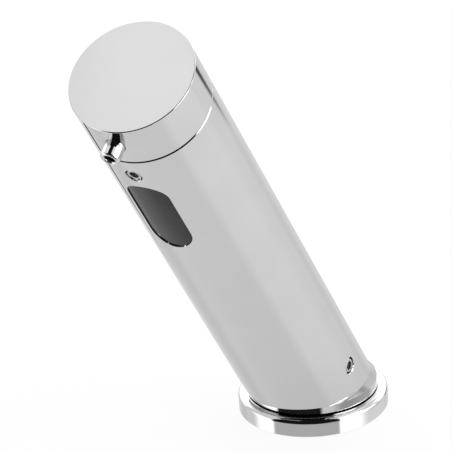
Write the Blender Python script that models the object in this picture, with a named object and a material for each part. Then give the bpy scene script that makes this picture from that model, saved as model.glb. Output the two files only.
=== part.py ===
# Automatic soap dispenser: a leaning tube on a round deck flange, with a sensor window,
# a lift-off head with the outlet nozzle, and the soap tube and sensor inside it.
# Metres, +Z up. The origin is the flange's centre on the deck, and the tube leans to -Y.
from math import cos, pi, radians, sin, sqrt, tan

import bmesh
import bpy

# General
gap = 0.0003                    # between pieces that touch
seal_gap = 0.00015              # round a rubber ring in its groove
cut_overrun = 0.003             # how far a cutter runs past the face it opens
round_steps = 64                # facets round the large turned pieces
fine_steps = 32                 # round the core and the seals of the tube
small_steps = 20                # round the small pieces

# Deck flange
flange_step = 0.00495           # its radius beyond the tube's
flange_height = 0.0064
flange_edge_radius = 0.00175
flange_foot_chamfer = 0.0003
deck_gasket_inset = 0.0007      # from the flange's inner wall to the gasket's bed
deck_gasket_width = 0.0032
deck_gasket_thickness = 0.0014
collar_seal_width = 0.0020
collar_seal_sink = 0.0009       # depth of its seat in the flange

# Tube
lean = radians(33.9)
axis_set_back = 0.00455         # where the tube's axis meets the deck, behind the centre
body_diameter = 0.0400
body_wall = 0.0040
seam_height = 0.1752            # from the deck along the axis to the seam under the head
head_height = 0.0163
rim_chamfer = 0.00025

# The tube's turned collar, and the core inside it
collar_step = 0.0021            # its radius beyond the tube's
core_step = 0.0024              # radius of the core's foot beyond the spigot's
collar_lift = 0.00045           # the dark line between collar and flange
collar_height = 0.00263
collar_taper_share = 0.11       # of its height, by which it narrows
collar_blend = 0.0025           # slope from the collar up to the tube's side
shoulder_rise_share = 0.333     # under the tube's overhang, for each unit out
spigot_play = 0.0004
stud_spread = 0.0100            # each stud hole's distance from the middle
stud_hole_radius = 0.0034
stud_hole_depth = 0.0110

# Rubber rings of the tube
ring_cord_radius = 0.0007
spigot_ring_rise = 0.0226       # from the collar's top to the lower ring, along the axis
spigot_ring_pitch = 0.0050
spigot_end = 0.0035             # from the upper ring to the spigot's top
head_ring_drop = 0.0026         # from the seam

# Soap way
soap_set_back = 0.0045          # from the tube's axis to the soap tube's
soap_tube_radius = 0.0030
soap_tube_wall = 0.0010
union_wall = 0.0019
union_rise = 0.0005             # of its lowest corner above the deck
union_socket = 0.0070           # depth of each of its two sockets
union_stop = 0.0007             # height of the stop between them
small_ring_radius = 0.0005
small_ring_inset = 0.0025       # from a socket's mouth to its ring's middle
elbow_socket = 0.0077
elbow_drop = 0.0157             # from its leg's middle down to its mouth
elbow_leg_wall = 0.0008
elbow_way_radius = 0.0018
elbow_head_room = 0.0005

# Nozzle
nozzle_radius = 0.0031
nozzle_reach = 0.0050           # out of the head
nozzle_bore_radius = 0.0017
nozzle_bore_depth = 0.0090
nozzle_way_radius = 0.0010
nozzle_nipple_radius = 0.0022
nozzle_nipple_length = 0.0048
nozzle_ring_radius = 0.0003
nozzle_seat_chamfer = 0.0001
valve_length = 0.0032
valve_skin = 0.0005
valve_slit = 0.0002

# Head
skirt_length = 0.01075          # below the seam
skirt_wall = 0.0020
head_roof = 0.0037
head_edge_radius = 0.0003

# Lock screws
screw_radius = 0.0025
screw_sink = 0.0004             # of its outer end below the tube
screw_hex_width = 0.0025        # across flats
screw_hex_depth = 0.0018
screw_chamfer = 0.0004
screw_seat_chamfer = 0.0003
head_screw_drop = 0.0076        # from the seam
foot_screw_rise = 0.01568       # from the collar's top, along the axis

# Sensor window
sensor_drop = 0.0010            # from the head's skirt to the sensor
window_half_length = 0.01715
window_half_width = 0.0071
window_sink = 0.0004
window_rim = 0.0018             # of the rim behind the wall
window_rim_thickness = 0.0009
window_gasket_thickness = 0.0004

# Sensor housing behind the window
housing_margin = 0.0005         # its half width beyond the window's
housing_depth = 0.0088
housing_wall = 0.0013
housing_end = 0.0053
housing_side = 0.0020
cover_thickness = 0.0012
cover_inset = 0.0002
board_thickness = 0.0015
board_step = 0.0005             # from the housing's back edge to the board
eye_radius = 0.0024
eye_spread = 0.0060
housing_screw_radius = 0.0007
housing_screw_head_radius = 0.0015
housing_screw_head = 0.0010
housing_screw_length = 0.0045
carrier_length = 0.0100

# Sensor lead
lead_edge = 0.0046              # from the spigot's side to the lead's middle
lead_radius = 0.0013
lead_way_gap = 0.0005
lead_tuck = 0.0011              # of its end inside the gland
gland_rise = 0.0017             # above the deck, along the axis
gland_length = 0.0056
gland_wall = 0.0018
lead_bend_start_share = 0.10    # of the way from the spigot's top to the plug
lead_bend_end_share = 0.86
plug_half_width = 0.0022
plug_half_depth = 0.0012
plug_length = 0.0087
plug_hold = 0.0053              # length of the plug inside the socket
socket_wall = 0.0007
socket_roof = 0.0014

# Worked out from the sizes above: radii
body_radius = body_diameter / 2
flange_radius = body_radius + flange_step
bore_radius = body_radius - body_wall
spigot_radius = bore_radius - spigot_play
collar_radius = body_radius + collar_step
collar_top_radius = collar_radius - collar_taper_share * collar_height
core_foot_radius = spigot_radius + core_step
flange_inner = core_foot_radius + gap
skirt_radius = bore_radius - gap
cavity_radius = skirt_radius - skirt_wall
ring_middle = bore_radius - seal_gap - ring_cord_radius
ring_bed_radius = ring_middle - ring_cord_radius - seal_gap
union_radius = soap_tube_radius + gap + union_wall
gland_radius = lead_radius + gap + gland_wall
elbow_leg_radius = nozzle_nipple_radius + gap + elbow_leg_wall
nozzle_lip_radius = (nozzle_radius - nozzle_bore_radius) / 2
valve_radius = nozzle_bore_radius - gap
housing_half_width = window_half_width + housing_margin
housing_half_length = window_half_length + window_rim
window_gasket_outer = bore_radius - gap
window_rim_outer = window_gasket_outer - window_gasket_thickness - gap
window_inner = window_rim_outer - window_rim_thickness
housing_front = window_inner - gap
housing_back = housing_front - housing_depth
lead_set_front = spigot_radius - lead_edge
lead_front_at_plug = housing_back + socket_wall + gap + plug_half_depth + gap

# Heights above the deck
collar_floor = flange_height + collar_lift
collar_top = collar_floor + collar_height
collar_seal_thickness = collar_seal_sink + collar_lift - 2 * gap

# Heights along the tube's axis, from the deck
foot_height = collar_top / cos(lean)
foot_screw_height = foot_height + foot_screw_rise
spigot_ring_first = foot_height + spigot_ring_rise
spigot_top = spigot_ring_first + spigot_ring_pitch + spigot_end
union_start = (union_radius - soap_set_back) * tan(lean) + union_rise
gland_start = (lead_set_front + gland_radius) * tan(lean) + gland_rise
lead_start = gland_start + lead_tuck
head_top = seam_height + head_height
cavity_roof = head_top - head_roof
nozzle_height = cavity_roof - elbow_head_room - elbow_leg_radius
elbow_foot = nozzle_height - elbow_drop
skirt_foot = seam_height - skirt_length
head_ring_height = seam_height - head_ring_drop
head_screw_height = seam_height - head_screw_drop
window_height = skirt_foot - sensor_drop - housing_half_length
socket_roof_height = window_height - housing_half_length - gap
socket_foot = socket_roof_height - socket_roof - plug_hold - gap
plug_foot = socket_foot + plug_hold - plug_length
lead_bend_start = spigot_top + lead_bend_start_share * (plug_foot - spigot_top)
lead_bend_end = spigot_top + lead_bend_end_share * (plug_foot - spigot_top)


def remove_startup_objects():
    for item in list(bpy.data.objects):
        bpy.data.objects.remove(item, do_unlink=True)


def make_empty(name, location, rotation):
    empty = bpy.data.objects.new(name, None)
    empty.location = location
    empty.rotation_euler = rotation
    empty.empty_display_size = body_radius
    bpy.context.scene.collection.objects.link(empty)
    return empty


def make_object(name, bm, parent=None, location=(0, 0, 0), rotation=(0, 0, 0)):
    bmesh.ops.recalc_face_normals(bm, faces=bm.faces[:])
    mesh = bpy.data.meshes.new(name)
    bm.to_mesh(mesh)
    bm.free()
    mesh.shade_smooth()
    mesh.set_sharp_from_angle(angle=radians(30))
    item = bpy.data.objects.new(name, mesh)
    item.location = location
    item.rotation_euler = rotation
    item.parent = parent
    bpy.context.scene.collection.objects.link(item)
    return item


def give_finish(item, colour, roughness, metallic, see_through=1.0):
    material = bpy.data.materials.new(item.name + "_finish")
    material.use_nodes = True
    shader = material.node_tree.nodes["Principled BSDF"]
    shader.inputs["Base Color"].default_value = (colour[0], colour[1], colour[2], 1)
    shader.inputs["Roughness"].default_value = roughness
    shader.inputs["Metallic"].default_value = metallic
    shader.inputs["Alpha"].default_value = see_through
    material.diffuse_color = (colour[0], colour[1], colour[2], 1)
    item.data.materials.append(material)


def chrome(item):
    give_finish(item, (0.80, 0.81, 0.82), 0.06, 1.0)


def steel(item):
    give_finish(item, (0.55, 0.55, 0.56), 0.22, 1.0)


def rubber(item):
    give_finish(item, (0.02, 0.02, 0.02), 0.70, 0.0)


def dark_plastic(item):
    give_finish(item, (0.03, 0.03, 0.035), 0.45, 0.0)


def pale_plastic(item):
    give_finish(item, (0.75, 0.76, 0.74), 0.40, 0.0)


def arc(centre_r, centre_z, radius, start, end, steps):
    """Points of a round corner in a turned profile, in degrees from outwards."""
    points = []
    for step in range(steps + 1):
        angle = radians(start + (end - start) * step / steps)
        points.append((centre_r + radius * cos(angle), centre_z + radius * sin(angle)))
    return points


def turned_mesh(profile, steps):
    """Spin a profile of (radius, height) about Z. One that starts and ends at radius 0
    becomes a full solid, and any other a ring."""
    bm = bmesh.new()
    verts = [bm.verts.new((r, 0, z)) for r, z in profile]
    for first, second in zip(verts, verts[1:]):
        bm.edges.new((first, second))
    if profile[0][0] > 0 or profile[-1][0] > 0:
        bm.edges.new((verts[-1], verts[0]))
    bmesh.ops.spin(bm, geom=bm.verts[:] + bm.edges[:], cent=(0, 0, 0), axis=(0, 0, 1),
                   dvec=(0, 0, 0), angle=2 * pi, steps=steps, use_merge=True)
    bmesh.ops.remove_doubles(bm, verts=bm.verts[:], dist=gap / 100)
    return bm


def turned(name, profile, steps, parent=None, location=(0, 0, 0), rotation=(0, 0, 0)):
    return make_object(name, turned_mesh(profile, steps), parent, location, rotation)


def rod_profile(radius, low, high, chamfer=0.0):
    if chamfer == 0:
        return [(0, low), (radius, low), (radius, high), (0, high)]
    return [(0, low), (radius - chamfer, low), (radius, low + chamfer),
            (radius, high - chamfer), (radius - chamfer, high), (0, high)]


def sleeve_profile(inner, outer, low, high):
    return [(inner, low), (outer, low), (outer, high), (inner, high)]


def groove_profile(radius, height):
    """A rubber ring's bed in a turned profile, from below it to above it."""
    half = ring_cord_radius + seal_gap
    return [(radius, height - half), (ring_bed_radius, height - half),
            (ring_bed_radius, height + half), (radius, height + half)]


def prism(name, outline, low, high, parent=None, location=(0, 0, 0), rotation=(0, 0, 0)):
    """Extrude a flat outline of (x, y) from low to high along Z."""
    bm = bmesh.new()
    face = bm.faces.new([bm.verts.new((x, y, low)) for x, y in outline])
    moved = bmesh.ops.extrude_face_region(bm, geom=[face])
    verts = [part for part in moved["geom"] if isinstance(part, bmesh.types.BMVert)]
    bmesh.ops.translate(bm, verts=verts, vec=(0, 0, high - low))
    return make_object(name, bm, parent, location, rotation)


def block(name, low, high, parent=None):
    """A box between two corners."""
    outline = [(low[0], low[1]), (high[0], low[1]), (high[0], high[1]), (low[0], high[1])]
    return prism(name, outline, low[2], high[2], parent)


def oval_outline(half_length, half_width, steps):
    """A slot with round ends, long in Y."""
    points = []
    straight = half_length - half_width
    for end, start in ((straight, 0), (-straight, 180)):
        for step in range(steps + 1):
            angle = radians(start + 180 * step / steps)
            points.append((half_width * cos(angle), end + half_width * sin(angle)))
    return points


def as_cutter(item):
    item.hide_render = True
    item.display_type = "WIRE"
    return item


def combine(item, other, operation):
    modifier = item.modifiers.new(other.name, "BOOLEAN")
    modifier.operation = operation
    modifier.solver = "EXACT"
    modifier.object = as_cutter(other)


def cut(item, other):
    combine(item, other, "DIFFERENCE")


def join(item, other):
    combine(item, other, "UNION")


def keep_inside(item, other):
    combine(item, other, "INTERSECT")


# Turning that points a part's own Z out of the tube's front, its side, or along it
facing_front = (radians(90), 0, 0)
facing_side = (0, radians(90), 0)


def ring_mesh(middle_radius, cord_radius, height, steps, sides):
    """A rubber ring of round cord."""
    profile = [(middle_radius + cord_radius * cos(2 * pi * side / sides),
                height + cord_radius * sin(2 * pi * side / sides)) for side in range(sides)]
    return turned_mesh(profile, steps)


def make_flange():
    bed_inner = flange_inner + deck_gasket_inset
    bed_outer = bed_inner + deck_gasket_width + 2 * gap
    bed_roof = deck_gasket_thickness + gap
    seat_radius = flange_inner + collar_seal_width + gap
    top = flange_height
    profile = [(flange_inner, 0), (bed_inner, 0), (bed_inner, bed_roof),
               (bed_outer, bed_roof), (bed_outer, 0),
               (flange_radius - flange_foot_chamfer, 0), (flange_radius, flange_foot_chamfer)]
    profile += arc(flange_radius - flange_edge_radius, top - flange_edge_radius,
                   flange_edge_radius, 0, 90, 5)
    profile += [(seat_radius, top), (seat_radius, top - collar_seal_sink),
                (flange_inner, top - collar_seal_sink)]
    flange = turned("base_flange", profile, round_steps)
    chrome(flange)

    gasket = turned("deck_gasket", sleeve_profile(bed_inner + gap, bed_outer - gap, 0,
                                                  deck_gasket_thickness), round_steps)
    rubber(gasket)

    seal_floor = top - collar_seal_sink + gap
    seal = turned("collar_seal", sleeve_profile(flange_inner, seat_radius - gap,
                                                seal_floor, seal_floor + collar_seal_thickness),
                  round_steps)
    rubber(seal)


def make_core(tube_axis):
    """The casting that stands on the deck: a round foot and the leaning spigot."""
    top = collar_floor - gap
    core = turned("base_core", rod_profile(core_foot_radius, 0, top), round_steps)
    chrome(core)

    buried = top / cos(lean) - 2 * spigot_radius * tan(lean)
    ring_heights = {"spigot_ring_lower": spigot_ring_first,
                    "spigot_ring_upper": spigot_ring_first + spigot_ring_pitch}
    profile = [(0, buried), (spigot_radius, buried)]
    for name, height in ring_heights.items():
        profile += groove_profile(spigot_radius, height)
        ring = make_object(name, ring_mesh(ring_middle, ring_cord_radius, height, fine_steps, 8),
                           tube_axis)
        rubber(ring)
    profile += [(spigot_radius, spigot_top - rim_chamfer),
                (spigot_radius - rim_chamfer, spigot_top), (0, spigot_top)]
    spigot = turned("spigot_form", profile, fine_steps, tube_axis)
    # At its root the leaning spigot is trimmed to the round foot, clear of the seal.
    inside = core_foot_radius - gap
    trim = turned("spigot_trim", [(0, -spigot_top), (body_diameter, -spigot_top),
                                  (body_diameter, collar_floor + gap),
                                  (inside, collar_floor + gap), (inside, top - gap),
                                  (0, top - gap)], round_steps,
                  rotation=(0, 0, pi / round_steps))
    cut(spigot, trim)
    join(core, spigot)

    # Two tapped holes for the studs that pull the foot to the deck
    for name, side in (("stud_hole_right", 1), ("stud_hole_left", -1)):
        hole = turned(name, rod_profile(stud_hole_radius, -cut_overrun, stud_hole_depth),
                      small_steps, None, (side * stud_spread, 0, 0))
        cut(core, hole)

    # The soap way and the lead way run through the core, in line with the tube
    union_end = union_start + 2 * union_socket + union_stop
    below = -core_foot_radius
    soap_way = turned("soap_way", [(0, below), (union_radius + gap, below),
                                   (union_radius + gap, union_end + gap),
                                   (soap_tube_radius + gap, union_end + gap),
                                   (soap_tube_radius + gap, spigot_top + cut_overrun),
                                   (0, spigot_top + cut_overrun)],
                      small_steps, tube_axis, (0, soap_set_back, 0))
    cut(core, soap_way)

    gland_end = gland_start + gland_length
    way_radius = lead_radius + lead_way_gap
    lead_way = turned("lead_way", [(0, below), (gland_radius + gap, below),
                                   (gland_radius + gap, gland_end + gap),
                                   (way_radius, gland_end + gap),
                                   (way_radius, spigot_top + cut_overrun),
                                   (0, spigot_top + cut_overrun)],
                      small_steps, tube_axis, (0, -lead_set_front, 0),
                      (0, 0, pi / small_steps))
    cut(core, lead_way)


def make_soap_way(tube_axis):
    bore = soap_tube_radius + gap
    outer = union_radius
    stop_low = union_start + union_socket
    stop_high = stop_low + union_stop
    end = stop_high + union_socket
    ring_height = end - small_ring_inset
    half = small_ring_radius + seal_gap
    bed = bore + 2 * small_ring_radius + seal_gap
    profile = [(bore, union_start), (outer, union_start), (outer, end), (bore, end),
               (bore, ring_height + half), (bed, ring_height + half),
               (bed, ring_height - half), (bore, ring_height - half), (bore, stop_high),
               (soap_tube_radius - soap_tube_wall, stop_high),
               (soap_tube_radius - soap_tube_wall, stop_low), (bore, stop_low)]
    union = turned("inlet_union", profile, small_steps, tube_axis, (0, soap_set_back, 0))
    pale_plastic(union)
    ring = make_object("inlet_ring", ring_mesh(bore + small_ring_radius, small_ring_radius,
                                               ring_height, small_steps, 6),
                       tube_axis, (0, soap_set_back, 0))
    rubber(ring)

    tube_end = elbow_foot + elbow_socket - gap
    tube = turned("soap_tube", sleeve_profile(soap_tube_radius - soap_tube_wall,
                                              soap_tube_radius, stop_high + gap, tube_end),
                  small_steps, tube_axis, (0, soap_set_back, 0))
    give_finish(tube, (0.85, 0.87, 0.86), 0.30, 0.0)


def lead_front_at(height):
    """Distance of the lead from the tube's axis, towards the front: an easy bend."""
    share = (height - lead_bend_start) / (lead_bend_end - lead_bend_start)
    share = min(max(share, 0), 1)
    eased = share * share * (3 - 2 * share)
    return lead_set_front + (lead_front_at_plug - lead_set_front) * eased


def make_lead(tube_axis):
    gland = turned("lead_gland", sleeve_profile(lead_radius + gap, gland_radius, gland_start,
                                                gland_start + gland_length),
                   small_steps, tube_axis, (0, -lead_set_front, 0))
    rubber(gland)

    lead_end = plug_foot - gap
    heights = [lead_start, lead_bend_start]
    bend_steps = 16
    for step in range(1, bend_steps + 1):
        heights.append(lead_bend_start + (lead_bend_end - lead_bend_start) * step / bend_steps)
    heights.append(lead_end)
    curve = bpy.data.curves.new("sensor_lead", "CURVE")
    curve.dimensions = "3D"
    curve.bevel_depth = lead_radius
    curve.bevel_resolution = 2
    curve.use_fill_caps = True
    spline = curve.splines.new("POLY")
    spline.points.add(len(heights) - 1)
    for point, height in zip(spline.points, heights):
        point.co = (0, -lead_front_at(height), height, 1)
    lead = bpy.data.objects.new("sensor_lead", curve)
    lead.parent = tube_axis
    bpy.context.scene.collection.objects.link(lead)
    give_finish(lead, (0.02, 0.02, 0.022), 0.55, 0.0)

    plug = block("lead_plug",
                 (-plug_half_width, -lead_front_at_plug - plug_half_depth, plug_foot),
                 (plug_half_width, -lead_front_at_plug + plug_half_depth,
                  plug_foot + plug_length), tube_axis)
    bevel = plug.modifiers.new("plug_edges", "BEVEL")
    bevel.width = gap
    bevel.segments = 1
    bevel.limit_method = "ANGLE"
    pale_plastic(plug)


def make_foot_cutter():
    """Everything round and under the collar, up to the tube's overhang."""
    far = body_diameter * 2
    rise = shoulder_rise_share * (far - collar_top_radius)
    profile = [(0, -far), (far, -far), (far, collar_top + rise),
               (collar_top_radius, collar_top), (collar_radius, collar_floor),
               (0, collar_floor)]
    # Half a facet round, so that its corners don't meet those of the collar.
    return turned("foot_cutter", profile, round_steps, rotation=(0, 0, pi / round_steps))


def screw_hole(name, tube_axis, rotation, height):
    """A lock screw's hole in the tube's wall, with its outer edge broken."""
    radius = screw_radius + gap
    seat = screw_seat_chamfer
    profile = [(0, bore_radius - cut_overrun), (radius, bore_radius - cut_overrun),
               (radius, body_radius - seat), (radius + seat, body_radius),
               (radius + seat, body_radius + cut_overrun),
               (0, body_radius + cut_overrun)]
    return turned(name, profile, small_steps, tube_axis, (0, 0, height), rotation)


def window_prism(name, tube_axis, grow, near, far):
    """The window's outline run out of the tube, from near to far from the tube's axis."""
    outline = oval_outline(window_half_length + grow, window_half_width + grow, 14)
    return prism(name, outline, near, far, tube_axis, (0, 0, window_height), facing_front)


def make_tube(tube_axis):
    """The leaning tube on its upright collar, turned underneath and bored along its axis."""
    below = -body_radius
    rim = rim_chamfer
    tube = turned("body_tube", [(0, below), (body_radius, below),
                                (body_radius, seam_height - rim),
                                (body_radius - rim, seam_height), (0, seam_height)],
                  round_steps, tube_axis)
    chrome(tube)
    blend_foot = collar_top + rim_chamfer
    blend_top = blend_foot + collar_blend
    blank_radius = collar_radius + cut_overrun
    collar = turned("collar_form", [(0, 0), (blank_radius, 0),
                                    (blank_radius, blend_foot + collar_top_radius - blank_radius),
                                    (collar_top_radius - collar_blend, blend_top),
                                    (0, blend_top)], round_steps)
    join(tube, collar)
    cut(tube, make_foot_cutter())
    cut(tube, turned("tube_bore", [(0, below - cut_overrun), (bore_radius, below - cut_overrun),
                                   (bore_radius, seam_height - rim),
                                   (bore_radius + rim + cut_overrun, seam_height + cut_overrun),
                                   (0, seam_height + cut_overrun)], round_steps, tube_axis))
    cut(tube, window_prism("window_opening", tube_axis, 0, bore_radius - cut_overrun,
                           body_radius + cut_overrun))
    cut(tube, screw_hole("head_screw_hole", tube_axis, facing_front, head_screw_height))
    cut(tube, screw_hole("foot_screw_hole", tube_axis, facing_side, foot_screw_height))


def make_window(tube_axis):
    """The curved dark window, with a rim that holds it behind the wall."""
    low = window_height - body_radius * 2
    high = window_height + body_radius * 2

    window = turned("sensor_window", sleeve_profile(window_inner, body_radius - window_sink,
                                                    low, high), round_steps, tube_axis)
    keep_inside(window, window_prism("window_form", tube_axis, -gap, 0, body_diameter))
    rim = turned("window_rim_form", sleeve_profile(window_inner, window_rim_outer, low, high),
                 round_steps, tube_axis)
    keep_inside(rim, window_prism("rim_form", tube_axis, window_rim, 0, body_diameter))
    join(window, rim)
    give_finish(window, (0.012, 0.012, 0.014), 0.05, 0.0)

    gasket = turned("window_gasket",
                    sleeve_profile(window_gasket_outer - window_gasket_thickness,
                                   window_gasket_outer, low, high), round_steps, tube_axis)
    keep_inside(gasket, window_prism("gasket_form", tube_axis, window_rim, 0, body_diameter))
    cut(gasket, window_prism("gasket_opening", tube_axis, gap / 2, 0, body_diameter))
    rubber(gasket)


def make_sensor(tube_axis):
    """Housing, cover, board and the two eyes behind the window."""
    low = window_height - housing_half_length
    high = window_height + housing_half_length
    back = -housing_back
    housing = turned("sensor_housing", rod_profile(housing_front, low, high), round_steps,
                     tube_axis)
    keep_inside(housing, block("housing_form",
                               (-housing_half_width, -body_radius, low - cut_overrun),
                               (housing_half_width, back, high + cut_overrun), tube_axis))
    cavity_half = housing_half_width - housing_side
    cavity_front = -sqrt(housing_front ** 2 - cavity_half ** 2) + housing_wall
    cut(housing, block("housing_cavity", (-cavity_half, cavity_front, low + housing_end),
                       (cavity_half, back + cut_overrun, high - housing_end), tube_axis))
    dark_plastic(housing)

    board_back = back - board_step
    board = block("sensor_board", (-cavity_half + gap, board_back - board_thickness,
                                   low + housing_end + gap),
                  (cavity_half - gap, board_back, high - housing_end - gap), tube_axis)
    give_finish(board, (0.02, 0.18, 0.07), 0.45, 0.0)

    for name, side in (("ir_emitter", 1), ("ir_receiver", -1)):
        height = window_height + side * eye_spread
        eye_base = -board_back + board_thickness + gap
        eye_shoulder = housing_front - eye_radius - gap
        cut(housing, turned(name + "_hole", rod_profile(eye_radius + gap, housing_back,
                                                        body_radius), small_steps,
                            tube_axis, (0, 0, height), facing_front))
        profile = [(0, eye_base), (eye_radius, eye_base)]
        profile += arc(0, eye_shoulder, eye_radius, 0, 90, 6)[:-1]
        profile.append((0, eye_shoulder + eye_radius))
        eye = turned(name, profile, small_steps, tube_axis, (0, 0, height), facing_front)
        give_finish(eye, (0.10, 0.05, 0.12) if side > 0 else (0.03, 0.03, 0.03), 0.10, 0.0)

    cover_front = back + gap
    cover = block("housing_cover", (-housing_half_width + cover_inset, cover_front,
                                    low + cover_inset),
                  (housing_half_width - cover_inset, cover_front + cover_thickness,
                   high - cover_inset), tube_axis)
    dark_plastic(cover)

    head_near = housing_back - gap - cover_thickness - gap
    hole_radius = housing_screw_radius + gap
    for name, side in (("housing_screw_upper", 1), ("housing_screw_lower", -1)):
        height = window_height + side * (housing_half_length - housing_end / 2)
        tip = head_near + housing_screw_length
        hole = turned(name + "_hole", rod_profile(hole_radius, 0, tip + gap), small_steps,
                      tube_axis, (0, 0, height), facing_front)
        cut(housing, hole)
        cut(cover, hole)
        profile = [(0, head_near - housing_screw_head),
                   (housing_screw_head_radius, head_near - housing_screw_head),
                   (housing_screw_head_radius, head_near), (housing_screw_radius, head_near),
                   (housing_screw_radius, tip), (0, tip)]
        screw = turned(name, profile, small_steps // 2, tube_axis, (0, 0, height),
                       facing_front)
        steel(screw)

    # A moulded saddle fills the bore behind the cover: it holds the sensor to the window
    # and guides the soap tube.
    carrier_front = cover_front + cover_thickness + gap
    carrier_low = window_height - carrier_length / 2
    carrier_high = window_height + carrier_length / 2
    carrier = turned("sensor_carrier", rod_profile(bore_radius - gap, carrier_low,
                                                   carrier_high), fine_steps, tube_axis)
    keep_inside(carrier, block("carrier_form",
                               (-body_radius, carrier_front, carrier_low - cut_overrun),
                               (body_radius, body_radius, carrier_high + cut_overrun),
                               tube_axis))
    cut(carrier, turned("carrier_hole", rod_profile(soap_tube_radius + gap,
                                                    carrier_low - cut_overrun,
                                                    carrier_high + cut_overrun),
                        small_steps, tube_axis, (0, soap_set_back, 0)))
    pale_plastic(carrier)

    # The socket under the housing takes the lead's plug from below
    middle = -lead_front_at_plug
    half_width = plug_half_width + gap
    half_depth = plug_half_depth + gap
    socket = block("lead_socket",
                   (-half_width - socket_wall, middle - half_depth - socket_wall, socket_foot),
                   (half_width + socket_wall, middle + half_depth + socket_wall,
                    socket_roof_height), tube_axis)
    cut(socket, block("socket_mouth",
                      (-half_width, middle - half_depth, socket_foot - cut_overrun),
                      (half_width, middle + half_depth, socket_roof_height - socket_roof),
                      tube_axis))
    dark_plastic(socket)


def make_head(tube_axis):
    """The lift-off head: a cap with a skirt that drops into the tube."""
    rim = rim_chamfer
    floor = seam_height + gap
    profile = [(0, cavity_roof), (cavity_radius, cavity_roof), (cavity_radius, skirt_foot),
               (skirt_radius - rim, skirt_foot), (skirt_radius, skirt_foot + rim)]
    profile += groove_profile(skirt_radius, head_ring_height)
    profile += [(skirt_radius, floor), (body_radius - rim, floor), (body_radius, floor + rim)]
    profile += arc(body_radius - head_edge_radius, head_top - head_edge_radius,
                   head_edge_radius, 0, 90, 2)
    profile.append((0, head_top))
    head = turned("head_cap", profile, round_steps, tube_axis)
    chrome(head)
    return head


def make_head_pieces(tube_axis, head):
    ring = make_object("head_ring", ring_mesh(ring_middle, ring_cord_radius, head_ring_height,
                                              fine_steps, 8), tube_axis)
    rubber(ring)

    hole_radius = nozzle_radius + seal_gap
    seat = nozzle_seat_chamfer
    hole = turned("nozzle_hole", [(0, 0), (hole_radius, 0),
                                  (hole_radius, body_radius - seat),
                                  (hole_radius + seat, body_radius),
                                  (hole_radius + seat, body_radius + cut_overrun),
                                  (0, body_radius + cut_overrun)],
                  small_steps, tube_axis, (0, 0, nozzle_height), facing_front)
    cut(head, hole)

    # Nozzle: round lip outside, shank through the wall, nipple inside for the elbow
    leg_end = cavity_radius - 2 * gap
    tip = body_radius + nozzle_reach
    nipple_end = leg_end - nozzle_nipple_length
    ring_height = leg_end - nozzle_nipple_length / 2
    ring_bed = nozzle_nipple_radius - 2 * nozzle_ring_radius + seal_gap
    ring_half = nozzle_ring_radius + seal_gap
    lip = nozzle_lip_radius
    bore_end = tip - nozzle_bore_depth
    profile = [(nozzle_way_radius, nipple_end), (nozzle_nipple_radius, nipple_end),
               (nozzle_nipple_radius, ring_height - ring_half),
               (ring_bed, ring_height - ring_half), (ring_bed, ring_height + ring_half),
               (nozzle_nipple_radius, ring_height + ring_half),
               (nozzle_nipple_radius, leg_end + gap), (nozzle_radius, leg_end + gap)]
    profile += arc(nozzle_radius - lip, tip - lip, lip, 0, 90, 4)
    profile += arc(nozzle_bore_radius + lip, tip - lip, lip, 90, 180, 4)
    profile += [(nozzle_bore_radius, bore_end), (nozzle_way_radius, bore_end)]
    nozzle = turned("nozzle", profile, small_steps, tube_axis, (0, 0, nozzle_height),
                    facing_front)
    chrome(nozzle)
    ring = make_object("nozzle_ring",
                       ring_mesh((ring_bed + nozzle_nipple_radius + gap) / 2,
                                 nozzle_ring_radius, ring_height, small_steps, 6),
                       tube_axis, (0, 0, nozzle_height), facing_front)
    rubber(ring)

    # Silicone slit valve on the step inside the nozzle
    valve_base = bore_end + gap
    shoulder = valve_base + valve_length - valve_radius
    inner = valve_radius - valve_skin
    profile = [(0, shoulder + inner)] + arc(0, shoulder, inner, 90, 0, 4)[1:]
    profile += [(inner, valve_base), (valve_radius, valve_base)]
    profile += arc(0, shoulder, valve_radius, 0, 90, 6)[:-1] + [(0, shoulder + valve_radius)]
    valve = turned("drip_valve", profile, small_steps, tube_axis, (0, 0, nozzle_height),
                   facing_front)
    cut(valve, block("valve_slit", (-valve_slit / 2, -inner / 2, shoulder),
                     (valve_slit / 2, inner / 2, shoulder + valve_radius + cut_overrun),
                     valve))
    pale_plastic(valve)

    make_elbow(tube_axis, leg_end, nipple_end)


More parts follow.
